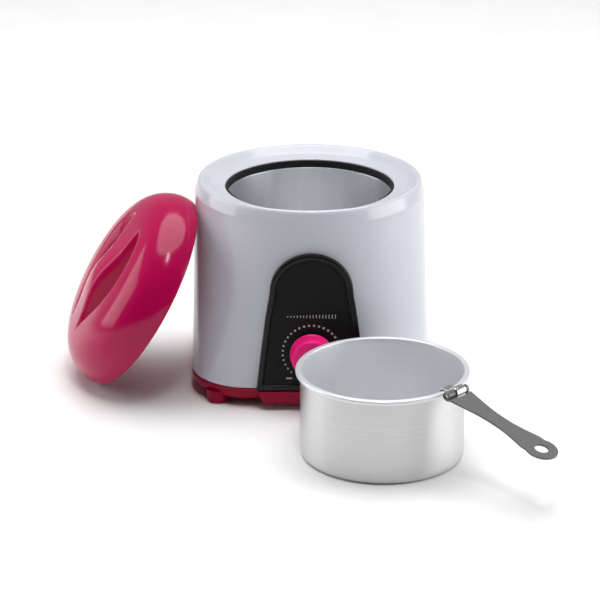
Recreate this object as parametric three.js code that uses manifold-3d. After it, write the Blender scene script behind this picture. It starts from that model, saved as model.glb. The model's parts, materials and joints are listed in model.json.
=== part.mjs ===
// Wax warmer pot: electric heater with a lift-out pot and a loose lid, laid out as it is
// shown for sale.  Millimetres, +Z up, control panel facing -Y.
import * as THREE from 'three';
import { mergeVertices } from 'three/addons/utils/BufferGeometryUtils.js';
import Module from 'manifold-3d';

const wasm = await Module();
wasm.setup();

const DEG = Math.PI / 180;
const GAP = 0.3;                       // clearance left between neighbouring pieces

// ---- main sizes --------------------------------------------------------------------
const BODY = { topRadius: 82, baseHalf: 84.4, baseCorner: 42, wall: 2.5, seamZ: 14.5, foldZ: 131 };
const MOUTH = { radius: 60.2, z: 137, dishRadius: 70.2, dishZ: 138.4, crestRadius: 78, crestZ: 143.3,
  lipBottom: 132.2 };
const TRAY = { bottomZ: 4.4, floorTop: 6.9, lipTop: 18.2 };
const FOOT = { x: 65.5, y: 69.5, radius: 7.8, top: TRAY.bottomZ - GAP };
const SCREW = { x: 52, y: 70, seatZ: 7.4 };
const PANEL = { bottom: 14.8, springZ: 86, springHalf: 28.9, archRise: 29, backY: -70, frontY: -90,
  lean: 0.03, rim: 4.2, recess: 1.3 };
const KNOB = { z: 42.7, baseRadius: 15, faceRadius: 13.8, backY: -90.6, frontY: -103 };
const CHAMBER = { inner: 57.9, outer: 59, floor: 80.2, under: 79, flangeZ: 130, flangeTop: 131.2 };
const POT = { x: 46.1, y: -159.9, radius: 55, height: 60.5, wall: 1, rim: 58.1, corner: 4.8 };
const HANDLE = { azimuth: -44.2, hingeRadius: 63.4, hingeZ: 61.2, droop: 14, holeAt: 73.4, endRadius: 10.8,
  holeRadius: 4.6, rootHalf: 10.2, pin: 1.5, bore: 1.8, curl: 3, sheet: 1.6, notch: 4.6 };
const LID = { radius: 74, dome: 27.4, skirt: 5.4, squareness: 6, roundness: 1.6, wall: 2.4,
  tilt: 31.5, azimuth: 11.3, twist: 5.3, x: -119.5, y: -17.9 };
const GRIP = { halfLength: 44.7, halfMid: 9.5, halfEnd: 12, reach: 28, depth: 12.5, crest: 5.4,
  crestAt: -5, crestSpread: 23, widest: 10 };

// ---- finishes ----------------------------------------------------------------------
const finishes = {
  pearl: [0xdddce6, 0.28, 0.0], raspberry: [0xb9124c, 0.22, 0.0], darkPink: [0x9c1440, 0.35, 0.0],
  black: [0x1b1c1d, 0.25, 0.0], matteBlack: [0x202221, 0.6, 0.0], rubber: [0x111111, 0.8, 0.0],
  satinAluminium: [0xc9cbce, 0.35, 1.0], brushed: [0xb5b7ba, 0.4, 1.0], steel: [0x9a9da1, 0.3, 1.0],
  darkSteel: [0x777777, 0.45, 0.8], zinc: [0xa9a9a2, 0.5, 0.9], mica: [0x8c7a5c, 0.7, 0.1],
  felt: [0xcfc9bb, 0.95, 0.0], phenolic: [0x2b2420, 0.6, 0.0], ceramic: [0xe9e4d8, 0.5, 0.0],
  silicone: [0xd8d2c4, 0.7, 0.0], brass: [0xb08d4a, 0.35, 1.0],
};

const group = new THREE.Group();
group.name = 'wax_warmer_pot';

function addPiece(name, geometry, finish) {
  const [color, roughness, metalness] = finishes[finish];
  const mesh = new THREE.Mesh(geometry, new THREE.MeshStandardMaterial({ color, roughness, metalness }));
  mesh.name = name;
  group.add(mesh);
  return mesh;
}

// ---- solid helpers -----------------------------------------------------------------
function toSolid(geometry) {
  const g = geometry.clone();
  for (const name of Object.keys(g.attributes)) {
    if (name !== 'position') g.deleteAttribute(name);
  }
  const m = mergeVertices(g, 1e-4);
  return new wasm.Manifold(new wasm.Mesh({
    numProp: 3,
    vertProperties: new Float32Array(m.attributes.position.array),
    triVerts: new Uint32Array(m.index.array),
  }));
}

function fromSolid(solid) {
  const mesh = solid.getMesh();
  const g = new THREE.BufferGeometry();
  g.setAttribute('position', new THREE.BufferAttribute(new Float32Array(mesh.vertProperties), 3));
  g.setIndex(new THREE.BufferAttribute(new Uint32Array(mesh.triVerts), 1));
  g.computeVertexNormals();
  return g;
}

function join(parts) {
  return fromSolid(wasm.Manifold.union(parts.map(toSolid)));
}

function cutFrom(base, tools) {
  return fromSolid(toSolid(base).subtract(wasm.Manifold.union(tools.map(toSolid))));
}

// Body of revolution about Z from [radius, z] points.
function turned(profile, segments = 48) {
  const g = new THREE.LatheGeometry(profile.map(([r, z]) => new THREE.Vector2(r, z)), segments);
  g.rotateX(Math.PI / 2);
  return g;
}

// Upright cylinder between two heights.
function post(radius, z0, z1, x = 0, y = 0, segments = 20) {
  const g = turned([[0, z0], [radius, z0], [radius, z1], [0, z1]], segments);
  g.translate(x, y, 0);
  return g;
}

// Cylinder lying along X (axis 'x') or Y (axis 'y') between two coordinates.
function bar(axis, radius, from, to, a, b, segments = 20) {
  const g = turned([[0, from], [radius, from], [radius, to], [0, to]], segments);
  if (axis === 'x') {
    g.rotateY(Math.PI / 2);
    g.translate(0, a, b);
  } else {
    g.rotateX(-Math.PI / 2);
    g.translate(a, 0, b);
  }
  return g;
}

function block(x0, x1, y0, y1, z0, z1) {
  const g = new THREE.BoxGeometry(x1 - x0, y1 - y0, z1 - z0);
  g.translate((x0 + x1) / 2, (y0 + y1) / 2, (z0 + z1) / 2);
  return g;
}

// Radius of a rounded square at an angle; corner equal to half gives a circle.
function roundedSquare(angle, half, corner) {
  const c = Math.abs(Math.cos(angle));
  const s = Math.abs(Math.sin(angle));
  const k = half - corner;
  const flat = half / Math.max(c, s);
  if (flat * Math.min(c, s) <= k) return flat;
  const b = k * (c + s);
  return b + Math.sqrt(Math.max(0, b * b - 2 * k * k + corner * corner));
}

// Closed band of rounded-square rings: rows are [half, corner, z], the last joins the first.
// With solid = true the first and last rows are closed with caps instead.
function ringBand(rows, segments, solid = false) {
  const points = [];
  const index = [];
  for (const [half, corner, z] of rows) {
    for (let i = 0; i < segments; i += 1) {
      const angle = (i * 2 * Math.PI) / segments;
      const r = roundedSquare(angle, half, corner);
      points.push(r * Math.cos(angle), r * Math.sin(angle), z);
    }
  }
  const last = solid ? rows.length - 1 : rows.length;
  for (let j = 0; j < last; j += 1) {
    const a0 = j * segments;
    const b0 = ((j + 1) % rows.length) * segments;
    for (let i = 0; i < segments; i += 1) {
      const k = (i + 1) % segments;
      index.push(a0 + i, a0 + k, b0 + k, a0 + i, b0 + k, b0 + i);
    }
  }
  if (solid) {
    for (const [row, up] of [[0, false], [rows.length - 1, true]]) {
      const centre = points.length / 3;
      points.push(0, 0, rows[row][2]);
      for (let i = 0; i < segments; i += 1) {
        const a = row * segments + i;
        const b = row * segments + ((i + 1) % segments);
        if (up) index.push(centre, a, b);
        else index.push(centre, b, a);
      }
    }
  }
  const g = new THREE.BufferGeometry();
  g.setAttribute('position', new THREE.Float32BufferAttribute(points, 3));
  g.setIndex(index);
  g.computeVertexNormals();
  return g;
}

// ---- housing -----------------------------------------------------------------------
function bodyRow(z, inset = 0) {
  const t = Math.min(1, Math.max(0, (z - BODY.seamZ) / (BODY.foldZ - BODY.seamZ)));
  const half = BODY.baseHalf + (BODY.topRadius - BODY.baseHalf) * t ** 0.8;
  const corner = BODY.baseCorner + (BODY.topRadius - BODY.baseCorner) * t ** 0.8;
  return [half - inset, corner - inset, z];
}

function circleRow(r, z) {
  return [r, r, z];
}

const levels = [BODY.seamZ + GAP, 40, 75, 106, BODY.foldZ];
const housingRows = [
  ...levels.map((z) => bodyRow(z)),
  circleRow(BODY.topRadius, 134), circleRow(80.2, 140.2), circleRow(79.3, 142.4),
  circleRow(MOUTH.crestRadius, MOUTH.crestZ), circleRow(76.3, 142.8), circleRow(74.6, 141.7),
  circleRow(MOUTH.dishRadius, MOUTH.dishZ), circleRow(61.2, MOUTH.z), circleRow(MOUTH.radius, 136),
  circleRow(MOUTH.radius, MOUTH.lipBottom), circleRow(62.6, MOUTH.lipBottom),
  circleRow(62.8, 134.4), circleRow(70.6, 135.8), circleRow(76.4, 140), circleRow(78.8, 137.5),
  ...[BODY.foldZ, 75, BODY.seamZ + GAP].map((z) => bodyRow(z, BODY.wall)),
];

// Outline of the control panel in X-Z, grown by a margin; runs counter-clockwise.
function panelOutline(margin) {
  const side = [[38.4, PANEL.bottom], [36.3, 33], [34.2, 50], [32.2, 66], [30.2, 78]];
  const right = [];
  for (const [x, z] of side) right.push([x, z]);
  const steps = 12;
  for (let i = 0; i <= steps; i += 1) {
    const a = (i * Math.PI) / (2 * steps);
    right.push([PANEL.springHalf * Math.cos(a), PANEL.springZ + PANEL.archRise * Math.sin(a)]);
  }
  const left = right.slice(0, -1).reverse().map(([x, z]) => [-x, z]);
  const ring = [...right, ...left];
  const count = ring.length;
  const grown = ring.map(([x, z], i) => {
    const [px, pz] = ring[(i + count - 1) % count];
    const [nx, nz] = ring[(i + 1) % count];
    const e0 = new THREE.Vector2(x - px, z - pz).normalize();
    const e1 = new THREE.Vector2(nx - x, nz - z).normalize();
    const n0 = new THREE.Vector2(e0.y, -e0.x);
    const n1 = new THREE.Vector2(e1.y, -e1.x);
    const scale = margin / (1 + n0.dot(n1));
    return [x + (n0.x + n1.x) * scale, z + (n0.y + n1.y) * scale];
  });
  return grown;
}

// Plate with the given X-Z outline between two Y planes; lean tips its front face back towards
// the top, and its back face too when leanBack is set.
function panelSlab(margin, yBack, yFront, lean, leanBack = false) {
  const shape = new THREE.Shape(panelOutline(margin).map(([x, z]) => new THREE.Vector2(x, z)));
  const g = new THREE.ExtrudeGeometry(shape, { depth: yBack - yFront, bevelEnabled: false });
  g.rotateX(Math.PI / 2);
  g.translate(0, yBack, 0);
  const p = g.attributes.position;
  for (let i = 0; i < p.count; i += 1) {
    if (leanBack || p.getY(i) < yBack - 1e-3) p.setY(i, p.getY(i) + lean * (p.getZ(i) - PANEL.bottom));
  }
  return g;
}

function screwSpots() {
  const spots = [];
  for (const sx of [-1, 1]) {
    for (const sy of [-1, 1]) spots.push([sx, sy]);
  }
  return spots;
}

function buildHousing() {
  const solids = [ringBand(housingRows, 48)];
  for (const [sx, sy] of screwSpots()) {
    solids.push(post(4.2, 10.3, 40, sx * SCREW.x, sy * SCREW.y, 16));
    const y0 = Math.min(sy * 71, sy * 77);
    const y1 = Math.max(sy * 71, sy * 77);
    solids.push(block(sx * SCREW.x - 1.2, sx * SCREW.x + 1.2, y0, y1, 24, 39));
  }
  const shell = join(solids);
  const holes = screwSpots().map(([sx, sy]) => post(1.8, 5, 24, sx * SCREW.x, sy * SCREW.y, 12));
  holes.push(panelSlab(GAP, -64, -96, 0));
  holes.push(bar('y', 6.9, 76, 90, 0, 30, 24));
  return cutFrom(shell, holes);
}
addPiece('outer_housing', buildHousing(), 'pearl');

// ---- base tray ---------------------------------------------------------------------
const trayOuter = [
  [78.4, 36.4, TRAY.bottomZ], [80.2, 38, 5], [81.8, 39.6, 6.4], [83.3, 41, 8.6], [84.2, 41.8, 11.4],
  [84.4, 42, BODY.seamZ - GAP], [81.3, 41.5, BODY.seamZ - GAP], [81.1, 42.8, TRAY.lipTop],
];
const trayInner = [[76.6, 34.4, TRAY.floorTop], [79.4, 37, 9], [79.4, 41, TRAY.lipTop + 2]];

function baseTab() {
  // Step of the base that carries the foot of the control panel.
  const shape = new THREE.Shape([
    new THREE.Vector2(-33.5, 5), new THREE.Vector2(33.5, 5),
    new THREE.Vector2(37.8, BODY.seamZ - GAP), new THREE.Vector2(-37.8, BODY.seamZ - GAP),
  ]);
  const g = new THREE.ExtrudeGeometry(shape, { depth: 12, bevelEnabled: false });
  g.rotateX(Math.PI / 2);
  g.translate(0, -78, 0);
  return g;
}

function buildTray() {
  const solids = [ringBand(trayOuter, 40, true), baseTab()];
  for (const [sx, sy] of screwSpots()) {
    solids.push(post(FOOT.radius, TRAY.bottomZ, 10, sx * FOOT.x, sy * FOOT.y, 18));
  }
  let tray = cutFrom(join(solids), [ringBand(trayInner, 40, true)]);
  const bosses = screwSpots().map(([sx, sy]) => post(5, 5.4, 10, sx * SCREW.x, sy * SCREW.y, 14));
  tray = join([tray, ...bosses]);
  const holes = [block(-39.2, 39.2, -95, -60, BODY.seamZ - GAP, 30)];
  for (const [sx, sy] of screwSpots()) {
    holes.push(post(3.6, 3, SCREW.seatZ, sx * SCREW.x, sy * SCREW.y, 16));
    holes.push(post(1.9, 3, 12, sx * SCREW.x, sy * SCREW.y, 12));
  }
  return cutFrom(tray, holes);
}
addPiece('base_tray', buildTray(), 'darkPink');

const footProfile = [[0, 0], [6, 0], [7.2, 0.6], [FOOT.radius, 1.8], [FOOT.radius, FOOT.top], [0, FOOT.top]];
const cornerNames = { '-1,-1': 'front_left', '1,-1': 'front_right', '-1,1': 'rear_left', '1,1': 'rear_right' };
for (const [sx, sy] of screwSpots()) {
  const corner = cornerNames[`${sx},${sy}`];
  const foot = turned(footProfile, 18);
  foot.translate(sx * FOOT.x, sy * FOOT.y, 0);
  addPiece(`foot_${corner}`, foot, 'darkPink');
  const screw = turned([[0, 5], [3.2, 5], [3.2, 7.1], [1.5, 7.1], [1.5, 22], [0, 22]], 10);
  screw.translate(sx * SCREW.x, sy * SCREW.y, 0);
  addPiece(`base_screw_${corner}`, screw, 'zinc');
}

// ---- heating chamber, seal and tie rods ----------------------------------------------
addPiece('heating_chamber', turned([
  [0, CHAMBER.under], [53, CHAMBER.under], [57.2, 80.8], [CHAMBER.outer, 85],
  [CHAMBER.outer, CHAMBER.flangeZ], [70, CHAMBER.flangeZ], [70, CHAMBER.flangeTop],
  [58.6, CHAMBER.flangeTop], [CHAMBER.inner, 130.4], [CHAMBER.inner, 85.4], [56.3, 81.8],
  [52.6, CHAMBER.floor], [0, CHAMBER.floor],
], 44), 'brushed');

addPiece('seal_ring', turned([
  [58.3, 131.5], [59.9, 131.5], [59.9, 136.1], [58.3, 136.1], [58.3, 131.5],
], 44), 'rubber');

const rodNames = { 40: 'rear_right', 140: 'rear_left', 220: 'front_left', 320: 'front_right' };
for (const [angle, corner] of Object.entries(rodNames)) {
  const x = 67 * Math.cos(angle * DEG);
  const y = 67 * Math.sin(angle * DEG);
  addPiece(`tie_rod_${corner}`, post(1.8, TRAY.floorTop + GAP, CHAMBER.flangeZ - GAP, x, y, 12), 'zinc');
}

// ---- heater and its fittings ---------------------------------------------------------
function ringTube(r0, r1, z0, z1, segments = 48) {
  return turned([[r0, z0], [r1, z0], [r1, z1], [r0, z1], [r0, z0]], segments);
}

const band = cutFrom(
  join([ringTube(59.3, 61.4, 88, 112, 44), block(-6.4, -2.4, 60.2, 69, 95, 105), block(2.4, 6.4, 60.2, 69, 95, 105)]),
  [bar('x', 1.9, -9, 9, 65.6, 100, 12), block(-2.4, 2.4, 58, 63, 86, 114)],
);
addPiece('heater_band', band, 'mica');
addPiece('band_clamp_screw', join([bar('x', 1.5, -9, 8, 65.6, 100, 12), bar('x', 3, 6.7, 9, 65.6, 100, 12),
  bar('x', 3, -9.4, -6.7, 65.6, 100, 6)]), 'zinc');
addPiece('insulation_jacket', cutFrom(ringTube(61.7, 64.6, 84, 124, 44), [block(-10, 10, 58, 72, 82, 126)]), 'felt');

addPiece('thermal_fuse', bar('x', 2.1, -8, 8, 22, 75.6, 12), 'ceramic');
addPiece('fuse_clip', cutFrom(block(-3.5, 3.5, 16.5, 27.5, 72.2, CHAMBER.under - GAP),
  [bar('x', 2.4, -6, 6, 22, 75.6, 12), block(-5, 5, 15, 18.6, 70, 77.6), block(-5, 5, 25.4, 29, 70, 77.6)]), 'steel');

addPiece('thermostat_body', join([block(-15, 15, -62, -44, 31, 54.4), block(-10, -7, -44.5, -38, 34, 40),
  block(7, 10, -44.5, -38, 34, 40), bar('y', 4.6, -84, -61, 0, KNOB.z, 20)]), 'phenolic');

addPiece('terminal_block', cutFrom(block(-14, 14, 36, 50, TRAY.floorTop + GAP, 19), [-9, 0, 9].map(
  (x) => post(2.2, 13, 22, x, 43, 10))), 'ceramic');

// ---- control panel, dial and knob ----------------------------------------------------
const shaftHole = bar('y', 5.2, -100, -60, 0, KNOB.z, 20);
const panelShell = cutFrom(panelSlab(0, PANEL.backY, PANEL.frontY, PANEL.lean), [
  panelSlab(-2.4, PANEL.backY + 5, PANEL.frontY + 4.6, PANEL.lean),
  panelSlab(-PANEL.rim, PANEL.frontY + 2.3, PANEL.frontY - 4, PANEL.lean, true),
  shaftHole,
]);
addPiece('control_panel', panelShell, 'black');
addPiece('dial_plate', cutFrom(
  panelSlab(-PANEL.rim - GAP, PANEL.frontY + 2, PANEL.frontY + 1, PANEL.lean, true), [shaftHole]), 'matteBlack');

// The nut clamps the dial plate from the front and hides under the knob.
const nutY = PANEL.frontY + PANEL.lean * (KNOB.z - PANEL.bottom) + 1;
addPiece('thermostat_nut', cutFrom(bar('y', 7.2, nutY - 2.6, nutY - GAP - 0.2, 0, KNOB.z, 6),
  [bar('y', 4.9, -100, -80, 0, KNOB.z, 20)]), 'brass');

const knobProfile = [
  [0, 0], [KNOB.baseRadius, 0], [KNOB.baseRadius + 0.1, 1.4], [14.6, 3], [14.1, 8.4], [13.3, 10.6],
  [11.6, 11.9], [8, 12.4], [0, 12.4],
];
function knobSolid() {
  const g = turned(knobProfile, 30);
  g.rotateX(Math.PI / 2);
  g.translate(0, KNOB.backY, KNOB.z);
  return g;
}
const knobHollow = [
  bar('y', 9.4, -93.6, -88, 0, KNOB.z, 24), bar('y', 3.3, -99.5, -88, 0, KNOB.z, 16),
];
addPiece('temperature_knob', cutFrom(knobSolid(), knobHollow), 'raspberry');
addPiece('thermostat_shaft', bar('y', 3, -99.2, -84.4, 0, KNOB.z, 16), 'brass');

// ---- cord entry and inner leads --------------------------------------------------------
addPiece('cord_gland', cutFrom(join([bar('y', 6.5, 70, 86, 0, 30, 24), bar('y', 9.6, 84.6, 88.4, 0, 30, 24)]),
  [bar('y', 3.5, 68, 92, 0, 30, 20)]), 'rubber');
addPiece('gland_nut', cutFrom(bar('y', 9.4, 76.6, 80.4, 0, 30, 6), [bar('y', 6.8, 74, 84, 0, 30, 24)]), 'matteBlack');

function lead(name, points) {
  const path = new THREE.CatmullRomCurve3(points.map((p) => new THREE.Vector3(...p)));
  const ring = new THREE.Shape();
  ring.absarc(0, 0, 1.1, 0, 2 * Math.PI, false);
  const g = new THREE.ExtrudeGeometry(ring, { steps: 14, curveSegments: 4, extrudePath: path, bevelEnabled: false });
  addPiece(name, g, 'silicone');
}
lead('lead_feed', [[-9, 34.9, 12], [-11, 20, 12], [-14, -5, 20], [-10, -28, 33], [-8.5, -37.4, 37]]);
lead('lead_heater', [[8.5, -37.4, 37], [12, -22, 42], [18, 4, 55], [16, 18, 70], [9, 22, 75.6]]);
lead('lead_return', [[9, 34.6, 12], [13, 30, 16], [18, 32, 28], [34, 50, 60], [22, 70, 86], [7.6, 71, 99]]);

// ---- lid -------------------------------------------------------------------------------
function smooth(t) {
  const k = Math.min(1, Math.max(0, t));
  return k * k * (3 - 2 * k);
}

// Reach of the finger scoops along the grip, 1 where they are widest and 0 at their tips.
function scoopReach(u) {
  const span = GRIP.halfLength - GRIP.widest * Math.sign(u - GRIP.widest);
  const rest = 1 - ((u - GRIP.widest) / span) ** 2;
  return u > GRIP.widest ? Math.sqrt(rest) : rest ** 1.25;
}

// Height of the lid's outer face above its rim plane at (u, v): u along the grip, v across it.
function lidHeight(u, v) {
  const r = Math.min(1, Math.hypot(u, v) / LID.radius);
  const plain = LID.skirt + LID.dome * (1 - r ** LID.squareness) ** (1 / LID.roundness);
  const s = Math.abs(u) / GRIP.halfLength;
  if (s >= 1) return plain;
  const across = Math.abs(v);
  const edge = GRIP.halfMid + (GRIP.halfEnd - GRIP.halfMid) * s * s;
  const hump = GRIP.crest * Math.exp(-(((u - GRIP.crestAt) / GRIP.crestSpread) ** 2)) * (1 - s ** 8);
  const crest = hump * (1 - 0.2 * (across / edge) ** 2) * (1 - smooth((across - edge + 2.2) / 5));
  const t = (across - edge) / (GRIP.reach * scoopReach(u));
  const deepest = GRIP.depth * (1 - s * s) ** 0.6 * (1 - 0.3 * smooth(-u / 40));
  return plain + crest - deepest * smooth(t / 0.3) * smooth((1 - t) / 0.7);
}

// Values mirrored about zero, from -1 to 1.
function mirrored(values) {
  return [...values.slice(1).reverse().map((k) => -k), ...values];
}

// The dome is a grid stretched over the disc, with lines gathered along the grip.
const lidGridU = mirrored([0, 0.15, 0.3, 0.44, 0.56, 0.68, 0.8, 0.91, 1]);
const lidGridV = mirrored([0, 0.09, 0.125, 0.16, 0.2, 0.25, 0.32, 0.4, 0.49, 0.61, 0.76, 1]);

function buildLid() {
  const points = [];
  const index = [];
  const nu = lidGridU.length;
  const nv = lidGridV.length;
  const addSheet = (radius, height) => {
    const start = points.length / 3;
    for (const y of lidGridV) {
      for (const x of lidGridU) {
        const u = radius * x * Math.sqrt(1 - (y * y) / 2);
        const v = radius * y * Math.sqrt(1 - (x * x) / 2);
        points.push(u, v, height(u, v));
      }
    }
    return start;
  };
  const fillSheet = (start, up) => {
    for (let j = 0; j + 1 < nv; j += 1) {
      for (let i = 0; i + 1 < nu; i += 1) {
        const a = start + j * nu + i;
        const [b, c, d] = [a + 1, a + nu + 1, a + nu];
        if (up) index.push(a, b, c, a, c, d);
        else index.push(a, c, b, a, d, c);
      }
    }
  };
  // Edge of the grid, counter-clockwise.
  const edge = [];
  for (let i = 0; i < nu - 1; i += 1) edge.push(i);
  for (let j = 0; j < nv - 1; j += 1) edge.push(j * nu + nu - 1);
  for (let i = nu - 1; i > 0; i -= 1) edge.push((nv - 1) * nu + i);
  for (let j = nv - 1; j > 0; j -= 1) edge.push(j * nu);
  const inner = (LID.radius - LID.wall) / LID.radius;
  const innerHeight = (u, v) => Math.max(1, lidHeight(u / inner, v / inner) - LID.wall);
  const outerStart = addSheet(LID.radius, lidHeight);
  fillSheet(outerStart, true);
  const innerStart = addSheet(LID.radius * inner, innerHeight);
  fillSheet(innerStart, false);
  const rings = [edge.map((k) => outerStart + k)];
  for (const [scale, z] of [[1, 1], [0.99, 0], [inner, 0]]) {
    const ring = edge.map((k) => {
      points.push(points[3 * k] * scale, points[3 * k + 1] * scale, z);
      return points.length / 3 - 1;
    });
    rings.push(ring);
  }
  rings.push(edge.map((k) => innerStart + k));
  for (let j = 0; j + 1 < rings.length; j += 1) {
    for (let i = 0; i < edge.length; i += 1) {
      const k = (i + 1) % edge.length;
      const [top, low] = [rings[j], rings[j + 1]];
      index.push(top[i], low[i], low[k], top[i], low[k], top[k]);
    }
  }
  const g = new THREE.BufferGeometry();
  g.setAttribute('position', new THREE.Float32BufferAttribute(points, 3));
  g.setIndex(index);
  g.computeVertexNormals();
  return g;
}

// Axes of the leaning lid: outward from its crown, up its face, and sideways.
function lidFrame() {
  const a = LID.tilt * DEG;
  const b = LID.azimuth * DEG;
  const normal = new THREE.Vector3(-Math.cos(a) * Math.cos(b), -Math.cos(a) * Math.sin(b), Math.sin(a));
  const up = new THREE.Vector3(Math.sin(a) * Math.cos(b), Math.sin(a) * Math.sin(b), Math.cos(a));
  const side = new THREE.Vector3().crossVectors(up, normal);
  // The grip is turned a little from the straight-up direction.
  const t = LID.twist * DEG;
  const along = up.clone().multiplyScalar(Math.cos(t)).addScaledVector(side, Math.sin(t));
  const across = new THREE.Vector3().crossVectors(normal, along);
  return { normal, along, across };
}

const lid = buildLid();
const { normal, along, across } = lidFrame();
lid.applyMatrix4(new THREE.Matrix4().makeBasis(along, across, normal));
lid.computeBoundingBox();
lid.translate(LID.x, LID.y, -lid.boundingBox.min.z);
addPiece('lid_shell', lid, 'raspberry');

// ---- wax pot ------------------------------------------------------------------------------
function arc(cx, cz, r, from, to, steps) {
  const out = [];
  for (let i = 0; i <= steps; i += 1) {
    const a = (from + ((to - from) * i) / steps) * DEG;
    out.push([cx + r * Math.cos(a), cz + r * Math.sin(a)]);
  }
  return out;
}

const potCorner = POT.radius - POT.corner;
const pot = turned([
  [0, 0], ...arc(potCorner, POT.corner, POT.corner, -90, 0, 3),
  [POT.radius, 56.4], [55.6, 57.4], [57.4, 57.7], [POT.rim, 58.4], [POT.rim, 59.6], [57.4, POT.height],
  [55.9, POT.height], [54.6, 59.7], [POT.radius - POT.wall, 58],
  ...arc(potCorner, POT.corner, POT.corner - POT.wall, 0, -90, 3), [0, POT.wall],
], 44);
pot.translate(POT.x, POT.y, 0);
addPiece('wax_pot', pot, 'satinAluminium');

// ---- handle: built with the hinge on the origin, X outward, Y along the pin, Z up -----------
function placeAtHinge(geometry, droop) {
  geometry.rotateY(droop * DEG);
  geometry.translate(HANDLE.hingeRadius, 0, HANDLE.hingeZ);
  geometry.rotateZ(HANDLE.azimuth * DEG);
  geometry.translate(POT.x, POT.y, 0);
  return geometry;
}

function curlTube(outer, y0, y1) {
  return cutFrom(bar('y', outer, y0, y1, 0, 0, 20), [bar('y', HANDLE.bore, y0 - 1, y1 + 1, 0, 0, 16)]);
}

const STRAP = { from: -2.6, to: 6.2, sheet: 1.2, curl: 3.9 };
const rimTop = POT.height + GAP - HANDLE.hingeZ;
const wallIn = 52.9 - HANDLE.hingeRadius;
const bracket = join([
  curlTube(STRAP.curl, STRAP.from, STRAP.to),
  block(wallIn, -2.3, STRAP.from, STRAP.to, rimTop, rimTop + STRAP.sheet),
  block(wallIn - STRAP.sheet, wallIn, STRAP.from, STRAP.to, rimTop - 11, rimTop + STRAP.sheet),
]);
addPiece('handle_bracket', placeAtHinge(bracket, 0), 'steel');

const pin = bar('y', HANDLE.pin, -HANDLE.rootHalf + 1, HANDLE.rootHalf - 1, 0, 0, 16);
addPiece('hinge_pin', placeAtHinge(pin, 0), 'steel');

function handlePlate() {
  // Half widths of the plate along its length, then the round end about the hanging hole.
  const half = [[0, 10.2], [5, 10.1], [12, 8.9], [20, 7.4], [28, 6.3], [36, 5.9], [44, 6.1], [52, 7.1],
    [59, 8.6], [64, 9.7]];
  const end = [];
  const steps = 12;
  for (let i = 0; i <= steps; i += 1) {
    const a = (118 - (236 * i) / steps) * DEG;
    end.push([HANDLE.holeAt + HANDLE.endRadius * Math.cos(a), HANDLE.endRadius * Math.sin(a)]);
  }
  const outline = [...half, ...end, ...half.slice().reverse().map(([x, w]) => [x, -w])];
  const shape = new THREE.Shape(outline.map(([x, y]) => new THREE.Vector2(x, y)));
  const g = new THREE.ExtrudeGeometry(shape, { depth: HANDLE.sheet, bevelEnabled: false });
  g.translate(0, 0, -HANDLE.sheet);
  return g;
}

const handle = join([
  cutFrom(handlePlate(), [block(-1, HANDLE.notch, STRAP.from - GAP, STRAP.to + GAP, -6, 1),
    bar('y', 2.4, -12, 12, 0, 0, 16), post(HANDLE.holeRadius, -6, 1, HANDLE.holeAt, 0, 28)]),
  curlTube(HANDLE.curl, -HANDLE.rootHalf, STRAP.from - GAP),
  curlTube(HANDLE.curl, STRAP.to + GAP, HANDLE.rootHalf),
]);
addPiece('pot_handle', placeAtHinge(handle, HANDLE.droop), 'darkSteel');

// ---- centre the whole set over the origin, resting on Z = 0 ---------------------------------
const bounds = new THREE.Box3().setFromObject(group);
const shift = bounds.getCenter(new THREE.Vector3());
for (const mesh of group.children) mesh.geometry.translate(-shift.x, -shift.y, -bounds.min.z);

export default group;
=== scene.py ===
import json
import math

import bmesh
import bpy
import numpy as np
from mathutils import Matrix, Vector


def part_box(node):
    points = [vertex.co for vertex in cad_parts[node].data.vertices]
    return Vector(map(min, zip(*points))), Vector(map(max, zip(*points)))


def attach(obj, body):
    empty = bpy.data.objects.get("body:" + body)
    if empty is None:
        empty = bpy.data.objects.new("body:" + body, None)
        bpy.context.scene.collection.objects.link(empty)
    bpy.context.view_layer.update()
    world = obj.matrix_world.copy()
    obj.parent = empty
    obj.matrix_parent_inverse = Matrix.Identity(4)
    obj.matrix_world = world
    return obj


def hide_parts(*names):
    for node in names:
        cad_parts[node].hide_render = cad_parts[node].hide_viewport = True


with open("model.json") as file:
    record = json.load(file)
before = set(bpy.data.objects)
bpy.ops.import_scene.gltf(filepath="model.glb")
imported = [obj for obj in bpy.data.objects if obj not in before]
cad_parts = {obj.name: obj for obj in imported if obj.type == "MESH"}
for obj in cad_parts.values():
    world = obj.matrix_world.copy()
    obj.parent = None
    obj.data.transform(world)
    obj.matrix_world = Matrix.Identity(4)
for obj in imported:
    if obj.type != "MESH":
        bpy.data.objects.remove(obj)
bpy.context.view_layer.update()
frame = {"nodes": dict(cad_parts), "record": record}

# All shapes below are written in millimetres about the heater's own upright axis.
MM = 0.001
low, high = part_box("heating_chamber")
AXIS = Vector(((low[0] + high[0]) / 2, (low[1] + high[1]) / 2, 0.0))


# ---------------------------------------------------------------- mesh helpers
def place(points):
    """Millimetres about the heater's axis to metres in the frame."""
    out = np.asarray(points, dtype=float) * MM
    out[:, 0] += AXIS.x
    out[:, 1] += AXIS.y
    return out


def make_object(name, points, faces, material, sharp=32.0):
    """A smooth-shaded piece with outward faces; edges steeper than sharp degrees stay crisp."""
    mesh = bpy.data.meshes.new(name)
    mesh.from_pydata([tuple(p) for p in place(points)], [], [tuple(f) for f in faces])
    mesh.validate()
    solid = bmesh.new()
    solid.from_mesh(mesh)
    bmesh.ops.recalc_face_normals(solid, faces=solid.faces)
    solid.to_mesh(mesh)
    solid.free()
    mesh.update()
    mesh.shade_smooth()
    mesh.set_sharp_from_angle(angle=math.radians(sharp))
    obj = bpy.data.objects.new(name, mesh)
    bpy.context.scene.collection.objects.link(obj)
    mesh.materials.append(material)
    return obj


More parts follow.
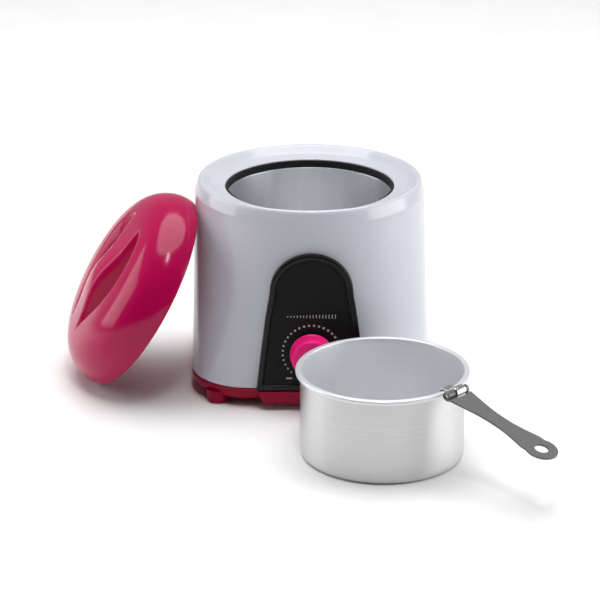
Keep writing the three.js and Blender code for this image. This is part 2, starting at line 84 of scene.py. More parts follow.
def rounded(points, radii, steps=6, closed=False):
    """Polyline of [a, b] points with its corners rounded to the given radii."""
    out = []
    count = len(points)
    for i, point in enumerate(points):
        p = Vector(point)
        r = radii[i]
        if r <= 0 or (not closed and i in (0, count - 1)):
            out.append(tuple(p))
            continue
        a = Vector(points[i - 1]) - p
        b = Vector(points[(i + 1) % count]) - p
        la, lb = a.length, b.length
        a.normalize()
        b.normalize()
        angle = math.acos(max(-1.0, min(1.0, a.dot(b))))
        if angle > math.pi - 1e-3:
            out.append(tuple(p))
            continue
        cut = min(r / math.tan(angle / 2), 0.49 * la, 0.49 * lb)
        start, end = p + a * cut, p + b * cut
        for k in range(steps + 1):
            t = k / steps
            # Quadratic blend through the corner keeps both tangents.
            q = start * (1 - t) ** 2 + p * 2 * t * (1 - t) + end * t ** 2
            out.append(tuple(q))
    return out


ON_AXIS = 1e-6


def lathe(profile, segments=128, centre=(0.0, 0.0)):
    """Body of revolution; profile [r, z] starts and ends on the axis or closes on itself."""
    points, faces, rows = [], [], []
    closed = profile[0][0] > ON_AXIS
    for r, z in profile:
        if r < ON_AXIS:
            rows.append([len(points)])
            points.append((centre[0], centre[1], z))
            continue
        row = []
        for i in range(segments):
            a = 2 * math.pi * i / segments
            row.append(len(points))
            points.append((centre[0] + r * math.cos(a), centre[1] + r * math.sin(a), z))
        rows.append(row)
    pairs = list(zip(rows, rows[1:]))
    if closed:
        pairs.append((rows[-1], rows[0]))
    for one, two in pairs:
        for i in range(segments):
            k = (i + 1) % segments
            if len(one) == 1 and len(two) > 1:
                faces.append((one[0], two[k], two[i]))
            elif len(two) == 1 and len(one) > 1:
                faces.append((one[i], one[k], two[0]))
            elif len(one) > 1 and len(two) > 1:
                faces.append((one[i], one[k], two[k], two[i]))
    return points, faces


def ring_band(rings, closed=True, cap_start=False, cap_end=False):
    """Rings of equal point count joined in order."""
    count = len(rings[0])
    points = [p for ring in rings for p in ring]
    faces = []
    last = len(rings) if closed else len(rings) - 1
    for j in range(last):
        a = j * count
        b = ((j + 1) % len(rings)) * count
        for i in range(count):
            k = (i + 1) % count
            faces.append((a + i, a + k, b + k, b + i))
    if cap_start:
        faces.append(tuple(reversed(range(count))))
    if cap_end:
        faces.append(tuple(range((len(rings) - 1) * count, len(rings) * count)))
    return points, faces


def merge(*parts):
    """Several (points, faces) meshes as one."""
    points, faces = [], []
    for p, f in parts:
        start = len(points)
        points += list(p)
        faces += [tuple(i + start for i in face) for face in f]
    return points, faces


def turn(points, matrix):
    return [tuple(matrix @ Vector(p)) for p in points]


def circle(centre_x, centre_y, radius, start, sweep, steps):
    """Points on an arc from a start angle through a sweep, both in degrees."""
    out = []
    for i in range(steps + 1):
        a = math.radians(start + sweep * i / steps)
        out.append((centre_x + radius * math.cos(a), centre_y + radius * math.sin(a)))
    return out


# ---------------------------------------------------------------- material helpers
# Depths and bump heights of materials are in metres.
NOISE_LOW, NOISE_HIGH = 0.3, 0.7
# Sockets of the colour mix node.
MIX_FACTOR, MIX_FIRST, MIX_SECOND, MIX_RESULT = 0, 6, 7, 2
# A quarter turn of the radial tangent, so that reflections smear upright.
UPRIGHT_SMEAR = 0.25
SKIN_DEPTH, SKIN_TINT = 0.006, (1.0, 0.05, 0.15)
BLOTCH_SCALE, SHEEN_SCALE, GRAIN_STRENGTH = 14.0, 60.0, 0.25


class Shader:
    """A principled material with the few node helpers used below."""

    def __init__(self, name, **values):
        self.material = bpy.data.materials.new(name)
        self.material.use_nodes = True
        self.tree = self.material.node_tree
        self.bsdf = self.tree.nodes["Principled BSDF"]
        self.coords = self.tree.nodes.new("ShaderNodeTexCoord")
        for key, value in values.items():
            self.bsdf.inputs[key.replace("_", " ")].default_value = value

    def node(self, kind, **inputs):
        n = self.tree.nodes.new(kind)
        for key, value in inputs.items():
            self.feed(n.inputs[key.replace("_", " ")], value)
        return n

    def feed(self, socket, value):
        if isinstance(value, bpy.types.NodeSocket):
            self.tree.links.new(value, socket)
        else:
            socket.default_value = value

    def noise(self, scale, detail=3.0, rough=0.5, stretch=None):
        vector = self.coords.outputs["Object"]
        if stretch:
            mapping = self.node("ShaderNodeMapping", Vector=vector, Scale=stretch)
            vector = mapping.outputs["Vector"]
        n = self.node("ShaderNodeTexNoise", Vector=vector, Scale=scale, Detail=detail, Roughness=rough)
        return n.outputs["Fac"]

    def spread(self, value, low, high):
        n = self.node("ShaderNodeMapRange", Value=value)
        n.inputs["From Min"].default_value = NOISE_LOW
        n.inputs["From Max"].default_value = NOISE_HIGH
        n.inputs["To Min"].default_value = low
        n.inputs["To Max"].default_value = high
        return n.outputs["Result"]

    def tint(self, value, first, second):
        n = self.tree.nodes.new("ShaderNodeMix")
        n.data_type = "RGBA"
        self.feed(n.inputs[MIX_FACTOR], value)
        n.inputs[MIX_FIRST].default_value = first
        n.inputs[MIX_SECOND].default_value = second
        return n.outputs[MIX_RESULT]

    def bump(self, height, strength, distance):
        n = self.node("ShaderNodeBump", Strength=strength, Distance=distance, Height=height)
        self.tree.links.new(n.outputs["Normal"], self.bsdf.inputs["Normal"])


def rgb(r, g, b):
    """Screen colour 0-255 to the linear values Blender wants."""
    def linear(c):
        c /= 255
        return c / 12.92 if c <= 0.04045 else ((c + 0.055) / 1.055) ** 2.4
    return (linear(r), linear(g), linear(b), 1.0)


def plastic(name, dark, light, rough=(0.16, 0.24), coat=0.6, coat_rough=0.05, grain=0.00003,
            grain_scale=900.0, specular=0.5, glow=0.0):
    """Moulded plastic with a faint blotch in colour, a fine grain and an optional glow under the skin."""
    s = Shader(name, Coat_Weight=coat, Coat_Roughness=coat_rough, Specular_IOR_Level=specular,
               Subsurface_Weight=glow, Subsurface_Radius=SKIN_TINT, Subsurface_Scale=SKIN_DEPTH)
    blotch = s.spread(s.noise(BLOTCH_SCALE, 3.0), 0.0, 1.0)
    s.feed(s.bsdf.inputs["Base Color"], s.tint(blotch, dark, light))
    s.feed(s.bsdf.inputs["Roughness"], s.spread(s.noise(SHEEN_SCALE, 4.0), *rough))
    s.bump(s.noise(grain_scale, 2.0), GRAIN_STRENGTH, grain)
    return s.material


def metal(name, dark, light, rough, stretch, scale=1.0, depth=0.00002, strength=0.3, aniso=0.0,
          metallic=1.0):
    """Metal with streaks; spun metals smear their reflections along the upright axis."""
    s = Shader(name, Metallic=metallic, Anisotropic=aniso,
               Anisotropic_Rotation=UPRIGHT_SMEAR if aniso else 0.0)
    streak = s.noise(scale, 4.0, 0.6, stretch)
    s.feed(s.bsdf.inputs["Base Color"], s.tint(s.spread(streak, 0.0, 1.0), dark, light))
    s.feed(s.bsdf.inputs["Roughness"], s.spread(streak, *rough))
    if aniso:
        tangent = s.tree.nodes.new("ShaderNodeTangent")
        tangent.direction_type = "RADIAL"
        tangent.axis = "Z"
        s.tree.links.new(tangent.outputs["Tangent"], s.bsdf.inputs["Tangent"])
    s.bump(streak, strength, depth)
    return s.material


PEARL = plastic("pearl_plastic", rgb(196, 197, 207), rgb(201, 202, 212), (0.2, 0.26), 0.35, 0.04,
                specular=0.4)
RASPBERRY = plastic("raspberry_gloss", rgb(170, 4, 72), rgb(178, 6, 78), (0.12, 0.17), 0.0,
                    specular=0.26, glow=0.3)
KNOB_PINK = plastic("raspberry_knob", rgb(246, 24, 126), rgb(252, 34, 134), (0.3, 0.38), 0.0, 0.15,
                    specular=0.25)
DARK_PINK = plastic("raspberry_base", rgb(150, 3, 46), rgb(158, 5, 52), (0.3, 0.38), 0.0, 0.2,
                    specular=0.14)
BLACK = plastic("black_gloss", rgb(10, 10, 12), rgb(14, 14, 16), (0.18, 0.26), 0.0, 0.1,
                specular=0.25)
MATT_BLACK = plastic("black_matt", rgb(14, 14, 16), rgb(18, 18, 20), (0.5, 0.6), 0.0, 0.3,
                     0.00006, 1400.0, specular=0.2)
RUBBER = plastic("black_rubber", rgb(12, 12, 13), rgb(18, 18, 19), (0.6, 0.75), 0.0, 0.3,
                 0.00006, 1200.0, specular=0.3)
INK = plastic("dial_ink", rgb(168, 172, 171), rgb(190, 194, 193), (0.5, 0.6), 0.0)
FAINT = {"depth": 0.00001, "strength": 0.08}
LINER = metal("liner_aluminium", rgb(214, 216, 219), rgb(220, 222, 225), (0.34, 0.4), (60, 60, 1.5),
              3.0, aniso=0.6, metallic=0.9, **FAINT)
POT_METAL = metal("spun_aluminium", rgb(205, 205, 206), rgb(211, 211, 211), (0.34, 0.4), (2, 2, 500),
                  2.0, aniso=0.75, metallic=0.95, **FAINT)
# Paler, less metallic copy of the pot's aluminium for its rim and inside: painted light standing in for
# the lit rim and the lit inside wall.
POT_PAINTED_LIGHT = metal("aluminium_painted_light", rgb(224, 226, 229), rgb(231, 233, 236), (0.34, 0.4),
                   (2, 2, 500), 2.0, aniso=0.5, metallic=0.5, **FAINT)
BRIGHT = metal("bright_steel", rgb(205, 204, 202), rgb(226, 225, 222), (0.16, 0.26), (200, 200, 200))
HANDLE_STEEL = metal("handle_steel", rgb(100, 100, 100), rgb(116, 116, 116), (0.42, 0.52),
                     (350, 350, 350), 2.0, metallic=0.7)
ZINC = metal("zinc_steel", rgb(150, 150, 146), rgb(176, 176, 170), (0.35, 0.5), (150, 150, 150), 2.0)
BRASS = metal("turned_brass", rgb(176, 140, 78), rgb(200, 164, 98), (0.25, 0.4), (300, 300, 300))
MICA = plastic("mica_band", rgb(120, 104, 78), rgb(146, 126, 96), (0.5, 0.7), 0.0)
FELT = plastic("glass_felt", rgb(200, 194, 180), rgb(222, 216, 204), (0.85, 0.95), 0.0, 0.3,
               0.0004, 700.0, specular=0.2)
CERAMIC = plastic("ceramic", rgb(226, 220, 206), rgb(238, 232, 220), (0.45, 0.6), 0.0)
PHENOLIC = plastic("phenolic", rgb(40, 33, 28), rgb(54, 44, 38), (0.5, 0.65), 0.0)
SILICONE = plastic("silicone_sleeve", rgb(214, 206, 192), rgb(228, 221, 208), (0.5, 0.65), 0.0)

SLOT_MATERIALS = {
    "pearl": PEARL, "raspberry": RASPBERRY, "dark_pink": DARK_PINK, "black_gloss": BLACK,
    "black_matte": MATT_BLACK, "black_rubber": RUBBER, "satin_aluminium": POT_METAL,
    "brushed_aluminium": LINER, "bright_steel": BRIGHT, "dark_steel": HANDLE_STEEL, "zinc_steel": ZINC,
    "mica_band": MICA, "felt": FELT, "phenolic": PHENOLIC, "ceramic": CERAMIC, "silicone": SILICONE,
    "brass": BRASS,
}
for part in frame["record"]["subparts"]:
    node = frame["nodes"][part["node"]]
    node.data.materials.clear()
    node.data.materials.append(SLOT_MATERIALS[part["material_slot"]])


# ---------------------------------------------------------------- housing
SEAM, FOLD = 14.5, 131.0
TOP_R, BASE_HALF, BASE_CORNER, WALL = 82.0, 84.4, 42.0, 2.5
MOUTH_R, MOUTH_Z, MOUTH_BOTTOM = 60.2, 137.0, 132.2
DISH_R, DISH_Z = 70.2, 138.4


def rounded_square(angle, half, corner):
    """Distance from the centre to the edge of a square with round corners, at an angle."""
    c, s = abs(math.cos(angle)), abs(math.sin(angle))
    k = half - corner
    flat = half / max(c, s)
    if flat * min(c, s) <= k:
        return flat
    b = k * (c + s)
    return b + math.sqrt(max(0.0, b * b - 2 * k * k + corner * corner))


def square_ring(half, corner, z, segments=192):
    ring = []
    for i in range(segments):
        a = 2 * math.pi * i / segments
        r = rounded_square(a, half, corner)
        ring.append((r * math.cos(a), r * math.sin(a), z))
    return ring


def body_ring(z, inset=0.0):
    """Outline of the housing at a height: a rounded square below, a circle at the fold."""
    t = min(1.0, max(0.0, (z - SEAM) / (FOLD - SEAM))) ** 0.8
    half = BASE_HALF + (TOP_R - BASE_HALF) * t
    corner = BASE_CORNER + (TOP_R - BASE_CORNER) * t
    return square_ring(half - inset, corner - inset, z)


def build_housing():
    rings = [body_ring(SEAM + 0.3, 0.5), body_ring(SEAM + 0.8, 0.1)]
    rings += [body_ring(z) for z in np.linspace(SEAM + 1.6, FOLD - 1, 26)]
    lip = rounded([(TOP_R, FOLD - 1), (TOP_R, FOLD + 3), (78.7, 145), (DISH_R, DISH_Z),
                   (MOUTH_R, MOUTH_Z), (MOUTH_R, MOUTH_BOTTOM)], [0, 5, 3.5, 6, 1.1, 0], 12)
    under = [(62.6, MOUTH_BOTTOM), (62.8, 134.4), (70.6, 135.8), (76.4, 140), (78.8, 137)]
    rings += [square_ring(r, r, z) for r, z in lip[1:] + under]
    rings += [body_ring(z, WALL) for z in (FOLD, 90, 50, SEAM + 0.3)]
    return ring_band(rings)


housing = make_object("housing_shell", *build_housing(), PEARL, 50)
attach(housing, "heater")
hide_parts("outer_housing")

SEAL_IN, SEAL_OUT, SEAL_BOTTOM, SEAL_TOP = 58.3, 59.9, 131.5, 136.3
seal_profile = rounded([(SEAL_IN, SEAL_BOTTOM), (SEAL_OUT, SEAL_BOTTOM), (SEAL_OUT, SEAL_TOP),
                        (SEAL_IN, SEAL_TOP)], [0.3] * 4, 4, True)
seal = make_object("mouth_seal", *lathe(seal_profile, 160), RUBBER)
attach(seal, "heater")
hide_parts("seal_ring")

CHAMBER_R, CHAMBER_FLOOR, CHAMBER_FLANGE_R, CHAMBER_FLANGE_Z = 59.0, 79.0, 70.0, 130.0
chamber_profile = rounded(
    [(0, CHAMBER_FLOOR), (53, CHAMBER_FLOOR), (CHAMBER_R, 85), (CHAMBER_R, CHAMBER_FLANGE_Z),
     (CHAMBER_FLANGE_R, CHAMBER_FLANGE_Z), (CHAMBER_FLANGE_R, 131.2), (57.9, 131.2), (57.9, 86),
     (52, 80.2), (0, 80.2)],
    [0, 6, 6, 1, 0.3, 0.3, 0.7, 6, 6, 0], 8)
chamber = make_object("chamber_liner", *lathe(chamber_profile, 160), LINER)
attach(chamber, "heater")
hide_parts("heating_chamber")


# ---------------------------------------------------------------- base and feet
def build_base():
    # Half width, corner radius and height of each ring, from the underside up and in again.
    outer = [(74, 33, 4.4), (77.6, 36, 4.45), (79.6, 37.6, 5.0), (81.6, 39.4, 6.4), (83.1, 40.8, 8.4),
             (84.0, 41.6, 10.8), (84.4, 42, 13.2), (84.3, 41.9, 14.0), (83.9, 41.6, 14.3),
             (81.2, 41.4, 14.3), (81.0, 42.6, 18.2), (79.6, 41.2, 18.2), (79.2, 40, 9), (76.4, 36, 6.9)]
    return ring_band([square_ring(*row) for row in outer], closed=False, cap_start=True, cap_end=True)


TAB_LOW_HALF, TAB_HIGH_HALF, TAB_BOTTOM, TAB_TOP = 33.4, 37.6, 4.9, 14.3


def build_tab():
    # Step of the base under the control panel, with slanted ends; it shrinks a little at its face.
    rings = []
    for y, grow in ((-78, 0.0), (-89.2, 0.0), (-89.8, -0.5), (-90, -1.2)):
        low_half, high_half = TAB_LOW_HALF + grow, TAB_HIGH_HALF + grow
        z0, z1 = TAB_BOTTOM - grow * 0.6, TAB_TOP + grow * 0.3
        corners = [(-low_half, z0), (low_half, z0), (high_half, z1), (-high_half, z1)]
        outline = rounded(corners, [1.2, 1.2, 0.3, 0.3], 5, True)
        rings.append([(x, y, z) for x, z in outline])
    return ring_band(rings, closed=False, cap_start=True, cap_end=True)


base = make_object("base_shell", *build_base(), DARK_PINK)
tab = make_object("base_step", *build_tab(), DARK_PINK)
for piece in (base, tab):
    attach(piece, "heater")
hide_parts("base_tray")

foot_profile = rounded([(0, 0), (7.8, 0), (7.7, 3.6), (8.6, 9), (0, 9)], [0, 2.4, 4, 0, 0], 8)
FOOT_X, FOOT_Y = 65.5, 69.5
CORNERS = {"front_left": (-1, -1), "front_right": (1, -1), "rear_left": (-1, 1), "rear_right": (1, 1)}
for corner, (sx, sy) in CORNERS.items():
    foot_mesh = lathe(foot_profile, 64, (sx * FOOT_X, sy * FOOT_Y))
    foot = make_object(f"round_foot_{corner}", *foot_mesh, DARK_PINK)
    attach(foot, "heater")
    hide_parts(f"foot_{corner}")


# ---------------------------------------------------------------- control panel
PANEL_BOTTOM, LEAN = 14.8, 0.03
ARCH_HALF, ARCH_Z, ARCH_RISE = 28.9, 86.0, 27.6


def panel_outline(margin, steps=28):
    """Outline of the panel in X-Z, grown outwards by a margin: narrowing sides under a round arch."""
    side = [(38.4, PANEL_BOTTOM), (37.3, 24), (36.3, 33), (35.25, 41.5), (34.2, 50), (33.2, 58),
            (32.2, 66), (31.2, 72), (30.2, 78), (29.4, 82.4)]
    right = list(side)
    for i in range(steps + 1):
        a = math.pi * i / (2 * steps)
        right.append((ARCH_HALF * math.cos(a), ARCH_Z + ARCH_RISE * math.sin(a)))
    ring = right + [(-x, z) for x, z in reversed(right[:-1])]
    count = len(ring)
    out = []
    for i, (x, z) in enumerate(ring):
        e0 = Vector((x - ring[i - 1][0], z - ring[i - 1][1])).normalized()
        e1 = Vector((ring[(i + 1) % count][0] - x, ring[(i + 1) % count][1] - z)).normalized()
        n0, n1 = Vector((e0.y, -e0.x)), Vector((e1.y, -e1.x))
        shift = (n0 + n1) * margin / (1 + n0.dot(n1))
        out.append((x + shift.x, z + shift.y))
    return out


def leaning(y, z):
    return y + LEAN * (z - PANEL_BOTTOM)


def panel_ring(margin, y, lean=True):
    return [(x, leaning(y, z) if lean else y, z) for x, z in panel_outline(margin)]


# Margin and depth of the raised rim, from its outer edge over the crest and down to the dial field.
rim_section = [(0, -88.9), (-0.15, -89.5), (-0.6, -89.9), (-1.2, -90), (-3.3, -90), (-3.8, -89.85),
               (-4.15, -89.5), (-4.3, -89.0), (-4.35, -88.6), (-4.35, -88.1)]
PANEL_BACK = -70
panel_rings = [panel_ring(0, PANEL_BACK, False)] + [panel_ring(m, y) for m, y in rim_section]
panel_mesh = ring_band(panel_rings, closed=False, cap_start=True, cap_end=True)
panel = make_object("panel_frame", *panel_mesh, BLACK)
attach(panel, "heater")
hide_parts("control_panel")

plate_rings = [panel_ring(-4.3, -88.2), panel_ring(-4.3, -88.8), panel_ring(-4.6, -89.0)]
plate_mesh = ring_band(plate_rings, closed=False, cap_start=True, cap_end=True)
plate = make_object("dial_field", *plate_mesh, MATT_BLACK)
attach(plate, "heater")
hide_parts("dial_plate")

# Printed marks: dots that grow clockwise round the knob, an off bar and a graduated strip.
KNOB_Z, KNOB_BACK = 42.7, -90.6
FIELD_Y = -89.0
DOTS, DOT_RING, DOT_START, DOT_SWEEP, DOT_SMALL, DOT_GROWTH = 28, 20.0, 225, 270, 0.6, 0.45
BARS, BAR_WIDTH, BAR_PITCH, BAR_SHORT, BAR_GROWTH = 16, 0.55, 2.2, 1.1, 1.9
STRIP_LEFT, STRIP_Z = -16.5, 69.3
OFF_WIDTH, OFF_HEIGHT, OFF_X, OFF_Z = 4.0, 1.0, -15.5, 24.0


def mark(outline, centre_x, centre_z):
    """Thin raised print from an X-Z outline about a centre."""
    back, front = [], []
    for x, z in outline:
        px, pz = centre_x + x, centre_z + z
        back.append((px, leaning(FIELD_Y + 0.05, pz), pz))
        front.append((px, leaning(FIELD_Y - 0.1, pz), pz))
    return ring_band([back, front], closed=False, cap_start=True, cap_end=True)


def disc(r, steps=20):
    angles = [2 * math.pi * i / steps for i in range(steps)]
    return [(r * math.cos(a), r * math.sin(a)) for a in angles]


def bar_mark(w, h):
    return [(-w / 2, -h / 2), (w / 2, -h / 2), (w / 2, h / 2), (-w / 2, h / 2)]


marks = []
for i in range(DOTS):
    a = math.radians(DOT_START - DOT_SWEEP * i / (DOTS - 1))
    size = DOT_SMALL + DOT_GROWTH * i / (DOTS - 1)
    marks.append(mark(disc(size), DOT_RING * math.cos(a), KNOB_Z + DOT_RING * math.sin(a)))
for i in range(BARS):
    height = BAR_SHORT + BAR_GROWTH * i / (BARS - 1)
    marks.append(mark(bar_mark(BAR_WIDTH, height), STRIP_LEFT + BAR_PITCH * i, STRIP_Z))
marks.append(mark(bar_mark(OFF_WIDTH, OFF_HEIGHT), OFF_X, OFF_Z))
printed = make_object("dial_marks", *merge(*marks), INK)
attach(printed, "heater")

knob_profile = rounded([(0, 0), (15, 0), (15.1, 1.6), (14.4, 2.4), (13.9, 12.4), (0, 12.1)],
                       [0, 0.2, 0.6, 1.2, 2.6, 0], 8)
knob_points, knob_faces = lathe(knob_profile, 96)
to_panel = Matrix.Translation((0, KNOB_BACK, KNOB_Z)) @ Matrix.Rotation(math.radians(90), 4, "X")
knob = make_object("knob_cap", turn(knob_points, to_panel), knob_faces, KNOB_PINK)
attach(knob, "knob")
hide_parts("temperature_knob")


# ---------------------------------------------------------------- lid
LID_R, LID_DOME, LID_SKIRT, LID_SQUARE, LID_ROUND, LID_WALL = 74.0, 27.4, 5.4, 6.0, 1.6, 2.4
LID_X, LID_Y, LID_STEPS, LID_BUNCH = -119.5, -17.9, 150, 0.86
# The finger grip is a ridge along u with a scoop on each side of it.
GRIP_LONG, GRIP_HALF, GRIP_FLARE, GRIP_WIDEST = 44.7, 11.6, 1.2, 10.0
CREST_RISE, CREST_AT, CREST_SPREAD, CREST_CROWN = 6.0, -5.0, 23.0, 0.2
CREST_OVERLAP, CREST_BLEND = 2.2, 5.0
SCOOP_REACH, SCOOP_DEPTH, SCOOP_WALL, SCOOP_FADE, SCOOP_FADE_OVER = 26.4, 12.5, 0.3, 0.3, 40.0
LID_TILT, LID_TURN, LID_TWIST = math.radians(31.5), math.radians(11.3), math.radians(5.3)


def smooth(t):
    k = np.clip(t, 0.0, 1.0)
    return k * k * (3 - 2 * k)


def lid_height(u, v):
    """Height of the lid's outside above the plane of its rim."""
    r = np.minimum(1.0, np.hypot(u, v) / LID_R)
    plain = LID_SKIRT + LID_DOME * (1 - r ** LID_SQUARE) ** (1 / LID_ROUND)
    end = np.clip(np.abs(u) / GRIP_LONG, 0, 1)
    across = np.abs(v)
    edge = GRIP_HALF + GRIP_FLARE * end * end
    ridge = CREST_RISE * np.exp(-((u - CREST_AT) / CREST_SPREAD) ** 2) * (1 - end ** 8)
    crest = ridge * (1 - CREST_CROWN * (across / edge) ** 2)
    crest = crest * (1 - smooth((across - edge + CREST_OVERLAP) / CREST_BLEND))
    upper = (u - GRIP_WIDEST) / (GRIP_LONG - GRIP_WIDEST)
    lower = (GRIP_WIDEST - u) / (GRIP_LONG + GRIP_WIDEST)
    bow = np.where(u > GRIP_WIDEST, np.sqrt(np.clip(1 - upper ** 2, 0, 1)),
                   np.clip(1 - lower ** 2, 0, 1) ** 1.25)
    t = (across - edge) / (SCOOP_REACH * bow + 1e-6)
    depth = SCOOP_DEPTH * (1 - end * end) ** 0.8 * (1 - SCOOP_FADE * smooth(-u / SCOOP_FADE_OVER))
    return plain + crest - depth * smooth(t / SCOOP_WALL) * smooth((1 - t) / (1 - SCOOP_WALL))


def build_lid(n=LID_STEPS):
    # A square grid stretched over the disc, closer together towards the shoulder.
    quarter = math.pi / 2 * LID_BUNCH
    line = np.sin(np.linspace(-1, 1, n) * quarter) / math.sin(quarter)
    x, y = np.meshgrid(line, line)
    gx = x * np.sqrt(1 - y * y / 2)
    gy = y * np.sqrt(1 - x * x / 2)
    inner = (LID_R - LID_WALL) / LID_R
    sheets = []
    for radius, wall in ((LID_R, 0.0), (LID_R * inner, LID_WALL)):
        u, v = gx * radius, gy * radius
        h = lid_height(gx * LID_R, gy * LID_R) - wall
        sheets.append(np.stack([u.ravel(), v.ravel(), np.maximum(1.0, h).ravel()], 1))
    points = np.concatenate(sheets)
    faces = []
    for j in range(n - 1):
        for i in range(n - 1):
            a = j * n + i
            faces.append((a, a + 1, a + n + 1, a + n))
            b = a + n * n
            faces.append((b, b + n, b + n + 1, b + 1))
    edge = list(range(n - 1)) + [j * n + n - 1 for j in range(n - 1)]
    edge += [(n - 1) * n + i for i in range(n - 1, 0, -1)] + [j * n for j in range(n - 1, 0, -1)]
    rings = [edge]
    extra = []
    start = len(points)
    # Scale and height of the rings down the skirt, round its foot and up inside.
    for scale, z in ((1.0, 3.6), (1.0, 1.4), (0.9985, 0.5), (0.994, 0.08), (0.988, 0.0),
                     (inner + 0.006, 0.0), (inner, 0.4)):
        rings.append([start + len(extra) + i for i in range(len(edge))])
        extra += [(points[k][0] * scale, points[k][1] * scale, z) for k in edge]
    rings.append([k + n * n for k in edge])
    for one, two in zip(rings, rings[1:]):
        for i in range(len(edge)):
            k = (i + 1) % len(edge)
            faces.append((one[i], two[i], two[k], one[k]))
    return np.concatenate([points, np.array(extra)]), faces


def lid_axes():
    """Directions of the leaning lid: along its grip, across it, and out of its dome."""
    level, lift = math.cos(LID_TILT), math.sin(LID_TILT)
    normal = Vector((-level * math.cos(LID_TURN), -level * math.sin(LID_TURN), lift))
    up = Vector((lift * math.cos(LID_TURN), lift * math.sin(LID_TURN), level))
    side = up.cross(normal)
    along = up * math.cos(LID_TWIST) + side * math.sin(LID_TWIST)
    return along, normal.cross(along), normal


lid_points, lid_faces = build_lid()
lid_along, lid_across, lid_normal = lid_axes()
basis = np.array([lid_along, lid_across, lid_normal])
lid_points = lid_points @ basis
lid_points[:, 2] -= lid_points[:, 2].min()
lid_points[:, 0] += LID_X
lid_points[:, 1] += LID_Y
lid = make_object("lid_dome", lid_points, lid_faces, RASPBERRY, 60)
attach(lid, "lid")
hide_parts("lid_shell")


# ---------------------------------------------------------------- pot
POT_X, POT_Y, POT_H = 46.1, -159.9, 60.5
POT_R, POT_BORE, POT_FLOOR, POT_RIM_R = 55, 54, 1, 58.1
# Where the painted light starts: above the underside of the rim, and inside the bore above the base.
PAINTED_LIGHT_Z, PAINTED_LIGHT_R, PAINTED_LIGHT_FLOOR = 57.3, 54.5, 0.5
pot_profile = rounded(
    [(0, 0), (POT_R, 0), (POT_R, 57.2), (POT_RIM_R, 57.6), (POT_RIM_R, POT_H), (54.2, POT_H),
     (POT_BORE, 57), (POT_BORE, POT_FLOOR), (0, POT_FLOOR)],
    [0, 4.8, 1.6, 1.0, 1.4, 1.0, 2, 3.8, 0], 9)
pot = make_object("pot_shell", *lathe(pot_profile, 192, (POT_X, POT_Y)), POT_METAL)
# The rim and the inside are painted paler and less mirror-like, as painted light for the light falling on
# them; the outside is bare spun metal.
pot.data.materials.append(POT_PAINTED_LIGHT)
for face in pot.data.polygons:
    centre = (face.center - AXIS) / MM
    out = Vector((centre.x - POT_X, centre.y - POT_Y))
    if centre.z > PAINTED_LIGHT_Z or (out.length < PAINTED_LIGHT_R and centre.z > PAINTED_LIGHT_FLOOR):
        face.material_index = 1
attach(pot, "pot")
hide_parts("wax_pot")

# Direction of the handle round the pot, and how far it droops.
AZIMUTH, DROOP = math.radians(-44.2), math.radians(14)
HINGE_R, HINGE_Z = 63.4, 61.2
to_pot = Matrix.Translation((POT_X, POT_Y, 0)) @ Matrix.Rotation(AZIMUTH, 4, "Z")
at_hinge = to_pot @ Matrix.Translation((HINGE_R, 0, HINGE_Z))
drooped = at_hinge @ Matrix.Rotation(DROOP, 4, "Y")


def strap(path, half_from, half_to, sheet):
    """Bent strip: path of [x, z] centre points, swept across Y, with rounded long edges."""
    rings = []
    count = len(path)
    h = sheet / 2
    corners = [(half_from, -h), (half_to, -h), (half_to, h), (half_from, h)]
    section = rounded(corners, [h * 0.7] * 4, 4, True)
    for i, (x, z) in enumerate(path):
        before, after = path[max(0, i - 1)], path[min(count - 1, i + 1)]
        d = Vector((after[0] - before[0], after[1] - before[1])).normalized()
        n = Vector((-d.y, d.x))
        rings.append([(x + n.x * w, y, z + n.y * w) for y, w in section])
    return ring_band(rings, closed=False, cap_start=True, cap_end=True)


STRAP_FROM, STRAP_TO, STRAP_SHEET, STRAP_GAP, STRAP_LEG = -2.6, 6.2, 1.2, 0.3, 11.0
STRAP_INSIDE_R, CLIP_R = 52.9, 3.3
rim_line = POT_H + STRAP_GAP + STRAP_SHEET / 2 - HINGE_Z
leg_x = STRAP_INSIDE_R - STRAP_SHEET / 2 - HINGE_R
strap_path = rounded([(leg_x, rim_line - STRAP_LEG), (leg_x, rim_line), (-4.6, rim_line), (-2.6, 2.6)],
                     [0, 1.6, 1.2, 0], 8)
curl = circle(0, 0, CLIP_R, 132, -290, 28)
bracket_mesh = strap(strap_path[:-1] + curl, STRAP_FROM, STRAP_TO, STRAP_SHEET)
bracket = make_object("rim_clip", turn(bracket_mesh[0], at_hinge), bracket_mesh[1], BRIGHT, 40)
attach(bracket, "pot")
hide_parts("handle_bracket")

# Half width of the plate along its length, before its round end.
PLATE_HALF = [(0, 10.2), (5, 10.1), (12, 8.9), (20, 7.4), (28, 6.3), (36, 5.9), (44, 6.1), (52, 7.1),
              (59, 8.6), (64, 9.7)]
PLATE_START, PLATE_ROOT, PLATE_BEVEL = 4.7, 10.1, 0.22
HOLE_AT, END_R, HOLE_R, CURL_R, SHEET = 73.4, 10.8, 4.6, 2.9, 1.6
KNUCKLE_HALF, KNUCKLE_GAP, KNUCKLE_THIN = 10.2, 0.3, 0.86


def spline(points, samples):
    """Smooth curve through [x, w] points: a cubic in x between each two of them."""
    xs = np.array([p[0] for p in points], float)
    ws = np.array([p[1] for p in points], float)
    slopes = np.gradient(ws, xs)
    out = []
    for x in np.linspace(xs[0], xs[-1], samples):
        i = min(len(xs) - 2, max(0, int(np.searchsorted(xs, x, side="right")) - 1))
        h = xs[i + 1] - xs[i]
        t = (x - xs[i]) / h
        w = ((2 * t ** 3 - 3 * t ** 2 + 1) * ws[i] + (t ** 3 - 2 * t ** 2 + t) * h * slopes[i]
             + (-2 * t ** 3 + 3 * t ** 2) * ws[i + 1] + (t ** 3 - t ** 2) * h * slopes[i + 1])
        out.append((x, w))
    return out


